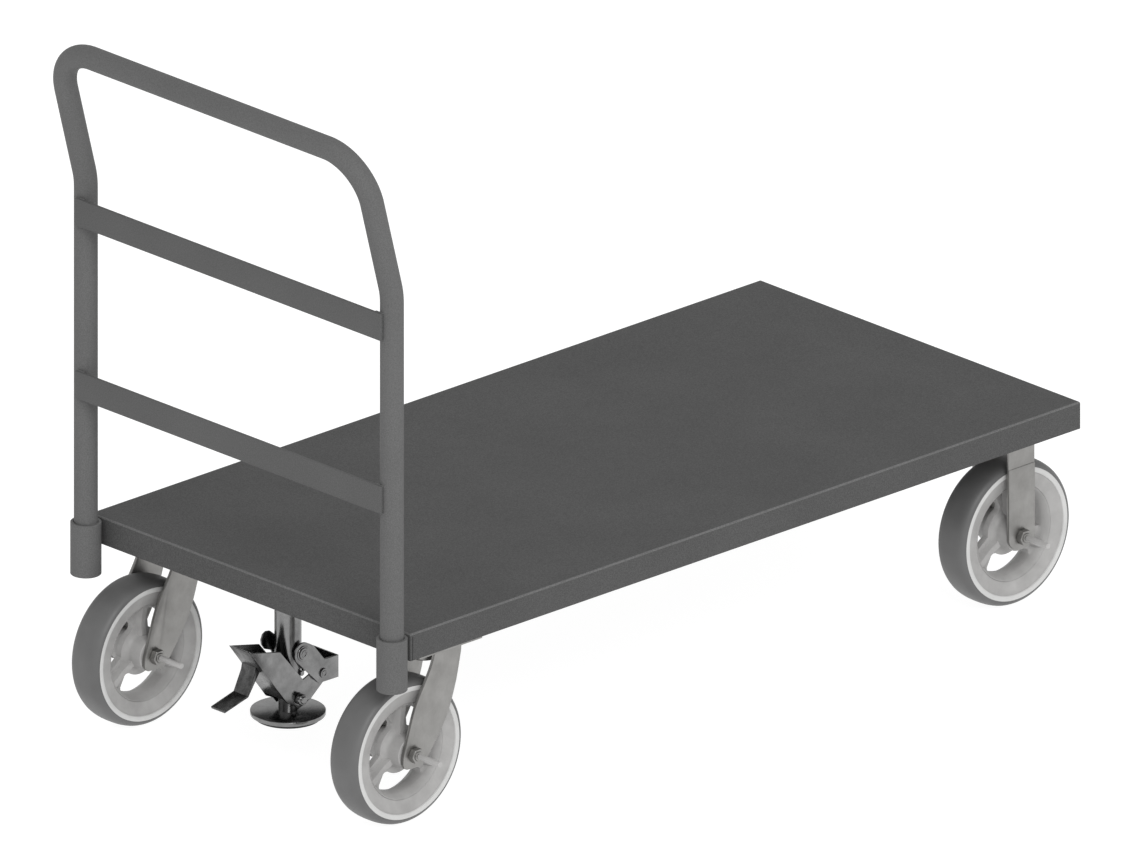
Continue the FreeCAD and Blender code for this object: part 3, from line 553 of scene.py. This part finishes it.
for name, body in WHEELS.items():
    half = tyre_outline()
    bm = bmesh.new()
    profile = half + [(radius, -along) for radius, along in reversed(half)]
    turned(bm, profile, wheel_centre(name), "Y", 128)
    piece = mesh_piece(f"{name}_tread", bm, polyurethane, body, [f"{name}_tyre"])


# The wheel cores: grey iron castings with a dished web, three ribbed spokes and three kidney-shaped
# windows, painted pale warm grey. The lip that holds the tyre is turned, so its paint is smoother
# and looks paler.

def cast_paint(name, dark, light, roughness, bump_strength):
    """Enamel over a sand casting: half matt, uneven where the sand grain shows through."""
    material, tree, shader = new_material(name)
    place = add(tree, "ShaderNodeTexCoord").outputs["Object"]
    sand = grain(tree, place, 2.5, 4.0)
    broad = grain(tree, place, 35.0, 3.0)
    tree.links.new(two_tone(tree, broad, 0.3, 0.72, dark, light), shader.inputs["Base Color"])
    tree.links.new(spread(tree, broad, roughness - 0.06, roughness + 0.1), shader.inputs["Roughness"])
    bump = add(tree, "ShaderNodeBump", links={"Height": sand},
               inputs={"Strength": bump_strength, "Distance": 0.0006})
    tree.links.new(bump.outputs["Normal"], shader.inputs["Normal"])
    shader.inputs["IOR"].default_value = 1.5
    return material


core_paint = cast_paint("painted_cast_iron", "#949392", "#a8a7a6", 0.50, 0.22)
lip_paint = cast_paint("turned_lip_paint", "#bbbbba", "#c7c7c6", 0.45, 0.04)
SPOKES = (90, 210, 330)
LIP_INNER = 0.0853
WINDOW_INNER = 0.0335
WINDOW_OUTER = 0.0592
WINDOW_SPREAD = 91
RIB_SECTIONS = ((0.019, 0.0064, 0.0135), (0.040, 0.0052, 0.0120), (0.067, 0.0062, 0.0165))
CASTING_EDGE = 0.0011


def core_outline():
    """Half of the core's section on one side of the web, from the bore to the tyre's seat."""
    return [
        (0.0141, 0.0282), (0.0149, 0.0290), (0.0212, 0.0290), (0.0222, 0.0280), (0.0235, 0.0120),
        (0.0265, 0.0072), (0.0320, 0.0048), (0.0560, 0.0048), (0.0585, 0.0062), (0.0604, 0.0100),
        (0.0648, 0.0182), (0.0660, 0.0190), (0.0665, 0.0179), (0.0673, 0.0194), (0.0838, 0.0231),
        (0.0849, 0.0236), (LIP_INNER, 0.0250),
        (LIP_INNER + 0.0006, HALF_WIDTH), (RIM_RADIUS - 0.0001, HALF_WIDTH),
    ]


def kidney(middle, inner, outer, spread_angle, corner=0.0075, count=7):
    """A window between two spokes: two arcs round the hub joined by rounded ends."""
    points = []
    for radius, sign in ((outer, 1), (inner, -1)):
        half = math.radians(spread_angle / 2) - corner / radius
        middle_angle = math.radians(middle)
        for step in range(15):
            angle = middle_angle + sign * half * (2 * step / 14 - 1)
            points.append((radius * math.cos(angle), radius * math.sin(angle)))
        edge = middle_angle + sign * half
        turn_radius = radius - sign * corner
        cx, cz = turn_radius * math.cos(edge), turn_radius * math.sin(edge)
        for step in range(1, count):
            angle = edge + math.radians(90 * step / count) + (0 if sign > 0 else math.pi)
            points.append((cx + corner * math.cos(angle), cz + corner * math.sin(angle)))
    return points


def prism(bm, points, centre, start, end):
    """An outline in X and Z given relative to centre, pushed along Y from start to end."""
    lower = [bm.verts.new((centre.x + x, centre.y + start, centre.z + z)) for x, z in points]
    upper = [bm.verts.new((centre.x + x, centre.y + end, centre.z + z)) for x, z in points]
    bm.faces.new(lower)
    bm.faces.new(upper[::-1])
    for i in range(len(points)):
        j = (i + 1) % len(points)
        bm.faces.new((lower[j], lower[i], upper[i], upper[j]))


def rib(angle, centre):
    """The raised rib on both faces of a spoke, through sections of a radius, width and height."""
    along = Vector((math.cos(math.radians(angle)), 0, math.sin(math.radians(angle))))
    across = Vector((-along.z, 0, along.x))
    bm = bmesh.new()
    rows = []
    for radius, width, height in RIB_SECTIONS:
        row = []
        for w, a in ((-1.5, 0), (-0.75, 1), (0.75, 1), (1.5, 0), (0.75, -1), (-0.75, -1)):
            point = centre + along * radius + across * (w * width) + Vector((0, a * height, 0))
            row.append(bm.verts.new(point))
        rows.append(row)
    for lower, upper in zip(rows, rows[1:]):
        for k in range(6):
            m = (k + 1) % 6
            bm.faces.new((lower[k], lower[m], upper[m], upper[k]))
    bm.faces.new(rows[0])
    bm.faces.new(rows[-1])
    return loose("rib", bm)


def wheel_core(name, body):
    """The casting, turned, pierced by its windows and ribbed, with its lip in a paint of its own."""
    centre = wheel_centre(name)
    half = core_outline()
    bm = bmesh.new()
    turned(bm, half + [(radius, -along) for radius, along in reversed(half)], centre, "Y", 96)
    piece = loose(f"{name}_casting", bm)
    windows = []
    for angle in SPOKES:
        bm = bmesh.new()
        outline = kidney(angle + 60, WINDOW_INNER, WINDOW_OUTER, WINDOW_SPREAD)
        prism(bm, outline, centre, -0.03, 0.03)
        windows.append(loose("window", bm))
    combine(piece, windows, "DIFFERENCE")
    combine(piece, [rib(angle, centre) for angle in SPOKES], "UNION")
    rounded_off(piece, CASTING_EDGE, 2, 38)
    dress(piece, core_paint, body, [f"{name}_wheel_core"], 50.0)
    piece.data.materials.append(lip_paint)
    for face in piece.data.polygons:
        middle = face.center
        radius = math.hypot(middle.x - centre.x, middle.z - centre.z)
        if radius > LIP_INNER - 0.0004:
            face.material_index = 1
    return piece


for name, body in WHEELS.items():
    wheel_core(name, body)


# The swivel forks: flat steel legs that trail behind the kingpin, welded through a bridge to a
# round crown and skirt, which turn on the ball race under the plate.

FORK_INNER = 0.0306
LEG_THICK = 0.0045
CASTER_LEAD = 0.0521
CROWN_RADIUS = 0.035
CROWN_THICK = 0.006
SKIRT_RADIUS = 0.020
SKIRT_WALL = 0.0030
SKIRT_DEPTH = 0.0164
KINGPIN_HOLE = 0.00806
AXLE_HOLE = 0.0064
FORK_EDGE = 0.0009


def plated(name, dark, light, roughness, stretch=(1, 1, 1), scale_mm=30.0):
    """Electroplated or ground metal: satin to bright, with faint marks. The real marks are finer
    than would show, so they are drawn at 1.6 mm."""
    material, tree, shader = new_material(name)
    place = add(tree, "ShaderNodeTexCoord").outputs["Object"]
    mapped = add(tree, "ShaderNodeMapping", links={"Vector": place}, inputs={"Scale": stretch})
    fine = grain(tree, mapped.outputs["Vector"], 1.6, 2.0)
    broad = grain(tree, place, scale_mm, 3.0)
    tree.links.new(two_tone(tree, broad, 0.3, 0.7, dark, light), shader.inputs["Base Color"])
    tree.links.new(spread(tree, fine, roughness - 0.07, roughness + 0.09), shader.inputs["Roughness"])
    bump = add(tree, "ShaderNodeBump", links={"Height": fine},
               inputs={"Strength": 0.06, "Distance": 0.0003})
    tree.links.new(bump.outputs["Normal"], shader.inputs["Normal"])
    shader.inputs["Metallic"].default_value = 1.0
    return material


zinc = plated("zinc_plated_steel", "#8b8a88", "#9b9a98", 0.42, (1, 1, 0.12))


def smooth_outline(points, radii):
    """A closed outline whose corners are arcs of the given radii."""
    result = []
    count = len(points)
    for i in range(count):
        before, bend, after = Vector(points[i - 1]), Vector(points[i]), Vector(points[(i + 1) % count])
        radius = radii[i]
        if radius <= 0:
            result.append(tuple(bend))
            continue
        into, out = (bend - before).normalized(), (after - bend).normalized()
        turn = into.angle(out)
        shorter = min((bend - before).length, (after - bend).length)
        reach = min(radius * math.tan(turn / 2), 0.48 * shorter)
        real = reach / math.tan(turn / 2)
        centre = bend + (out - into).normalized() * (real / math.cos(turn / 2))
        spoke = bend - into * reach - centre
        sign = 1 if into.x * out.y - into.y * out.x > 0 else -1
        steps = max(2, round(math.degrees(turn) / 7))
        for k in range(steps + 1):
            result.append(tuple(centre + Matrix.Rotation(sign * turn * k / steps, 2) @ spoke))
    return result


def circle(radius):
    """An outline for a drilled hole."""
    return [(radius * math.cos(math.radians(a)), radius * math.sin(math.radians(a)))
            for a in range(0, 360, 10)]


def swivel_leg_outline(top):
    """The leg's side view about the axle, swept forward to the kingpin."""
    points = [
        (0.0409, top), (0.0305, 0.1110), (0.0021, 0.0650), (-0.0133, 0.0170), (-0.0196, -0.0010),
        (-0.0190, -0.0180), (0.0165, -0.0195), (0.0268, -0.0070), (0.0487, 0.0210), (0.0647, 0.0490),
        (0.0773, 0.0856), (0.0859, 0.1260), (0.0864, top),
    ]
    radii = [0, 0.09, 0.12, 0.10, 0.05, 0.0175, 0.0175, 0.06, 0.2, 0.12, 0.2, 0.05, 0]
    return smooth_outline(points, radii)


def leg(outline, centre, side):
    """One leg: its plate, with the axle's hole."""
    bm = bmesh.new()
    inner, outer = sorted((side * FORK_INNER, side * (FORK_INNER + LEG_THICK)))
    prism(bm, outline, centre, inner, outer)
    plate = loose("leg", bm)
    bm = bmesh.new()
    prism(bm, circle(AXLE_HOLE), centre, -0.06, 0.06)
    return combine(plate, [loose("eye", bm)], "DIFFERENCE")


def crown(pin, top):
    """The round crown with the skirt round the kingpin's nut."""
    under = top - CROWN_THICK
    bottom = under - SKIRT_DEPTH
    bm = bmesh.new()
    turned(bm, [
        (KINGPIN_HOLE, top), (CROWN_RADIUS - 0.0012, top), (CROWN_RADIUS, top - 0.0012),
        (CROWN_RADIUS, under), (SKIRT_RADIUS, under), (SKIRT_RADIUS, bottom + 0.0010),
        (SKIRT_RADIUS - 0.0010, bottom), (SKIRT_RADIUS - SKIRT_WALL, bottom),
        (SKIRT_RADIUS - SKIRT_WALL - 0.0001, under), (KINGPIN_HOLE, under),
    ], pin, "Z", 72)
    return loose("crown", bm)


def bridge(centre, pin, top):
    """The plate that joins the legs' tops to the crown, with the kingpin's hole."""
    crown_top = top - centre.z
    bm = bmesh.new()
    prism(bm, [
        (0.0407, crown_top - 0.0062), (0.0864, crown_top - 0.0062),
        (0.0864, crown_top - 0.0004), (0.0409, crown_top - 0.0004),
    ], centre, -(FORK_INNER + LEG_THICK), FORK_INNER + LEG_THICK)
    hole = [(pin.x + x, pin.y + y) for x, y in circle(KINGPIN_HOLE)]
    return combine(loose("bridge", bm), [upright(hole, top - 0.05, top + 0.05)], "DIFFERENCE")


def swivel_fork(side_name):
    """Two legs, bridge and crown as one welded fork."""
    centre = wheel_centre(f"swivel_{side_name}")
    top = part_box(f"swivel_fork_{side_name}")[1].z
    pin = Vector((centre.x + CASTER_LEAD, centre.y, 0))
    outline = swivel_leg_outline(top - centre.z - 0.001)
    piece = leg(outline, centre, -1)
    combine(piece, [leg(outline, centre, 1), bridge(centre, pin, top), crown(pin, top)], "UNION")
    piece.name = f"swivel_yoke_{side_name}"
    rounded_off(piece, FORK_EDGE, 2, 40)
    dress(piece, zinc, f"swivel_caster_{side_name}", [f"swivel_fork_{side_name}"], 40.0)


for side_name in ("left", "right"):
    swivel_fork(side_name)


# The rigid forks: two straight legs with full round ends about the axle, welded to the caster's
# plate. The legs are stepped a little a short way under it.

PLATE_THICK = 0.00635
PLATE_CORNER = 0.010
STEP_HEIGHT = 0.2000
STEP_DEPTH = 0.0008
END_TRIM = 0.0050


def rigid_fork(side_name):
    """Two legs, their steps and the plate as one welded fork."""
    centre = wheel_centre(f"rigid_{side_name}")
    low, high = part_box(f"rigid_fork_{side_name}")
    leg_top = high.z - centre.z - 0.003
    half_width = centre.z - low.z
    depth = half_width - END_TRIM
    outline = [(half_width * math.cos(math.radians(a)), depth * math.sin(math.radians(a)))
               for a in range(180, 361, 9)]
    outline += [(half_width, leg_top), (-half_width, leg_top)]
    piece = leg(outline, centre, -1)
    combine(piece, [leg(outline, centre, 1)], "UNION")
    steps = []
    for side in (-1, 1):
        face = centre.y + side * (FORK_INNER + LEG_THICK)
        inner, outer = sorted((face - side * STEP_DEPTH, face + side * 0.002))
        steps.append(block((low.x - 0.01, inner, STEP_HEIGHT), (high.x + 0.01, outer, high.z - 0.0064)))
    combine(piece, steps, "DIFFERENCE")
    plate = upright(rounded_corners(low, high, 0, PLATE_CORNER, 6), high.z - PLATE_THICK, high.z)
    combine(piece, [plate], "UNION")
    piece.name = f"rigid_yoke_{side_name}"
    rounded_off(piece, FORK_EDGE, 2, 40)
    dress(piece, zinc, "deck", [f"rigid_fork_{side_name}"], 40.0)


for side_name in ("left", "right"):
    rigid_fork(side_name)


# Axles, nuts, grease tubes, plates, bolts and races: plain turned or stamped pieces, zinc plated
# or ground. The plated pieces and grease tubes are CAD pieces with their edges eased, and the ground
# races are the CAD nodes as they are, in a finish of their own. The grease tubes have a matt pale
# coating.

FITTING_EDGE = 0.0006
flake = cast_paint("zinc_flake_coating", "#a5a4a3", "#b5b4b3", 0.5, 0.05)
ground = plated("ground_bearing_steel", "#8c8c8c", "#a5a5a5", 0.25)
PLATED = {
    "deck": ["plate_bolts", "plate_washers", "rigid_axles", "rigid_axle_nuts", "rigid_grease_tubes",
             "kingpin_left", "kingpin_right", "kingpin_nut_left", "kingpin_nut_right",
             "swivel_plate_left", "swivel_plate_right"],
    "swivel_caster_left": ["swivel_axle_left", "swivel_axle_nuts_left", "swivel_grease_tubes_left"],
    "swivel_caster_right": ["swivel_axle_right", "swivel_axle_nuts_right", "swivel_grease_tubes_right"],
}
for body, members in PLATED.items():
    for node in members:
        piece = eased_copy(f"{node}_plated", node, FITTING_EDGE, 2, 30.0)
        finish = flake if "grease" in node else zinc
        dress(piece, finish, body, [node], 40.0)
for node in nodes:
    if node.startswith("swivel_balls") or node.endswith("_bearing") or "sleeve" in node:
        repaint(node, ground)


# The floor lock: a chromed stem that slides in a chromed tube, pushed down by a toggle of two folded
# steel yokes when the pedal is trodden. The foot disc has a rubber pad under it. The lever, the
# pedal's web and the yokes' inward faces are in a darker chrome, which is painted shade.

LOCK = {
    "deck": ["lock_plate", "lock_tube", "lock_studs"],
    "lock_plunger": ["lock_stem", "lock_foot_disc", "pedal_pin"],
    "lock_link": ["link_yoke", "knee_rivet"],
    "lock_pedal": ["pedal_yoke", "foot_lever"],
}
YOKE_EDGE = 0.0011
LOCK_EDGE = 0.0007
chrome = plated("bright_chrome", "#727272", "#8a8a8a", 0.22, (1, 1, 1), 18.0)
# A darker chrome for the toggle's lever, pedal web and inward faces, as painted shade.
chrome_painted_shade = plated("chrome_with_painted_shade", "#434343", "#6a6a6a", 0.26, (1, 1, 1), 9.0)


def gets_painted_shade(node, face):
    """Whether a face of the toggle gets the painted shade: on the lever, on the pedal's web, or turned
    to the stem.
    """
    if node == "foot_lever":
        return True
    inward = node != "knee_rivet" and face.normal.y * face.center.y < -1e-5
    web = node == "pedal_yoke" and face.normal.x < -0.5
    return inward or web


for body, members in LOCK.items():
    for node in members:
        radius = YOKE_EDGE if node in ("pedal_yoke", "link_yoke") else LOCK_EDGE
        piece = eased_copy(f"{node}_chromed", node, radius, 2, 30.0)
        dress(piece, chrome, body, [node], 40.0)
        # The lever, the pedal's web and the faces turned to the stem get the darker chrome, as painted
        # shade.
        if body in ("lock_pedal", "lock_link"):
            piece.data.materials.append(chrome_painted_shade)
            for face in piece.data.polygons:
                face.material_index = int(gets_painted_shade(node, face))


def raised_ring(bm, centre, inner, outer, base, height):
    """A flat ring standing up from y = base, on both sides of the lock."""
    ease = 0.0003
    for side in (-1, 1):
        section = [
            (inner, base), (outer, base), (outer, base + height - ease), (outer - ease, base + height),
            (inner + ease, base + height), (inner, base + height - ease),
        ]
        turned(bm, [(radius, side * along) for radius, along in section], centre, "Y", 40)


# Each pivot's X from the stem's axis and Z from the deck's lower edge, then its rings: inner and
# outer radius, the distance of the face it stands on, and its height.
RINGS = {
    "link_stud_rings": ("deck", 0.0050, -0.0880,
                        [(0.0083, 0.0106, 0.0239, 0.0012), (0.0030, 0.0050, 0.0262, 0.0009)]),
    "knee_rivet_rings": ("lock_link", 0.0425, -0.1257, [(0.0026, 0.0044, 0.0252, 0.0008)]),
    "pedal_pin_rings": ("lock_plunger", 0.0000, -0.1510, [(0.0052, 0.0066, 0.0292, 0.0009)]),
}
tube_low_corner, tube_high_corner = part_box("lock_tube")
lock_axis = (tube_low_corner.x + tube_high_corner.x) / 2
for name, (body, x, z, rings) in RINGS.items():
    bm = bmesh.new()
    for ring in rings:
        raised_ring(bm, Vector((lock_axis + x, 0, deck_low.z + z)), *ring)
    mesh_piece(name, bm, chrome, body, ())
repaint("lock_return_spring", ground)


def pad_rubber():
    """Moulded rubber: near black and quite matt."""
    material, tree, shader = new_material("moulded_rubber")
    place = add(tree, "ShaderNodeTexCoord").outputs["Object"]
    fine = grain(tree, place, 2.0, 3.0)
    tree.links.new(two_tone(tree, fine, 0.3, 0.7, "#1c1c1c", "#262626"), shader.inputs["Base Color"])
    tree.links.new(spread(tree, fine, 0.65, 0.85), shader.inputs["Roughness"])
    shader.inputs["IOR"].default_value = 1.5
    return material


PAD_EDGE = 0.0012
foot_pad = eased_copy("foot_pad_moulded", "lock_foot_pad", PAD_EDGE, 2, 30.0)
dress(foot_pad, pad_rubber(), "lock_plunger", ["lock_foot_pad"], 40.0)


# The studio: a white floor that runs out of sight and glows, so that no shadow shows on it, even
# white light from all round, a broad soft key from above, and a camera without perspective.

FLOOR_REACH = 60.0
FLOOR_LEVEL = -0.0005


def floor():
    bm = bmesh.new()
    bm.faces.new([bm.verts.new((x * FLOOR_REACH, y * FLOOR_REACH, FLOOR_LEVEL))
                  for x, y in ((-1, -1), (1, -1), (1, 1), (-1, 1))])
    piece = new_piece("studio_floor", bm)
    material, _, shader = new_material("matt_floor_paint")
    shader.inputs["Base Color"].default_value = linear("#808080")
    shader.inputs["Roughness"].default_value = 0.9
    shader.inputs["Specular IOR Level"].default_value = 0.0
    shader.inputs["Emission Color"].default_value = (1, 1, 1, 1)
    shader.inputs["Emission Strength"].default_value = 0.93
    piece.data.materials.append(material)


floor()
world = bpy.data.worlds.new("studio")
world.use_nodes = True
world.node_tree.nodes["Background"].inputs["Color"].default_value = (1, 1, 1, 1)
world.node_tree.nodes["Background"].inputs["Strength"].default_value = 0.71
bpy.context.scene.world = world


def sun(name, strength, azimuth, elevation, spread_degrees):
    light = bpy.data.lights.new(name, "SUN")
    light.energy = strength
    light.angle = math.radians(spread_degrees)
    lamp = bpy.data.objects.new(name, light)
    bpy.context.scene.collection.objects.link(lamp)
    a, e = math.radians(azimuth), math.radians(elevation)
    back = Vector((math.sin(a) * math.cos(e), -math.cos(a) * math.cos(e), math.sin(e)))
    lamp.rotation_mode = "QUATERNION"
    lamp.rotation_quaternion = back.to_track_quat("Z", "Y")


sun("key", 1.35, -26.0, 38.0, 30.0)

camera_data = bpy.data.cameras.new("camera")
camera_data.type = "ORTHO"
camera_data.ortho_scale = 1.4793
camera_data.clip_end = 100.0
camera = bpy.data.objects.new("camera", camera_data)
bpy.context.scene.collection.objects.link(camera)
CAMERA_AZIMUTH = math.radians(-43.70)
CAMERA_ELEVATION = math.radians(21.34)
CAMERA_TARGET = Vector((-0.0152, -0.0006, 0.3304))
back = Vector((
    math.sin(CAMERA_AZIMUTH) * math.cos(CAMERA_ELEVATION),
    -math.cos(CAMERA_AZIMUTH) * math.cos(CAMERA_ELEVATION),
    math.sin(CAMERA_ELEVATION),
))
camera.location = CAMERA_TARGET + back * 6.0
camera.rotation_mode = "QUATERNION"
camera.rotation_quaternion = back.to_track_quat("Z", "Y")
bpy.context.scene.camera = camera
bpy.context.scene.view_settings.view_transform = "Standard"
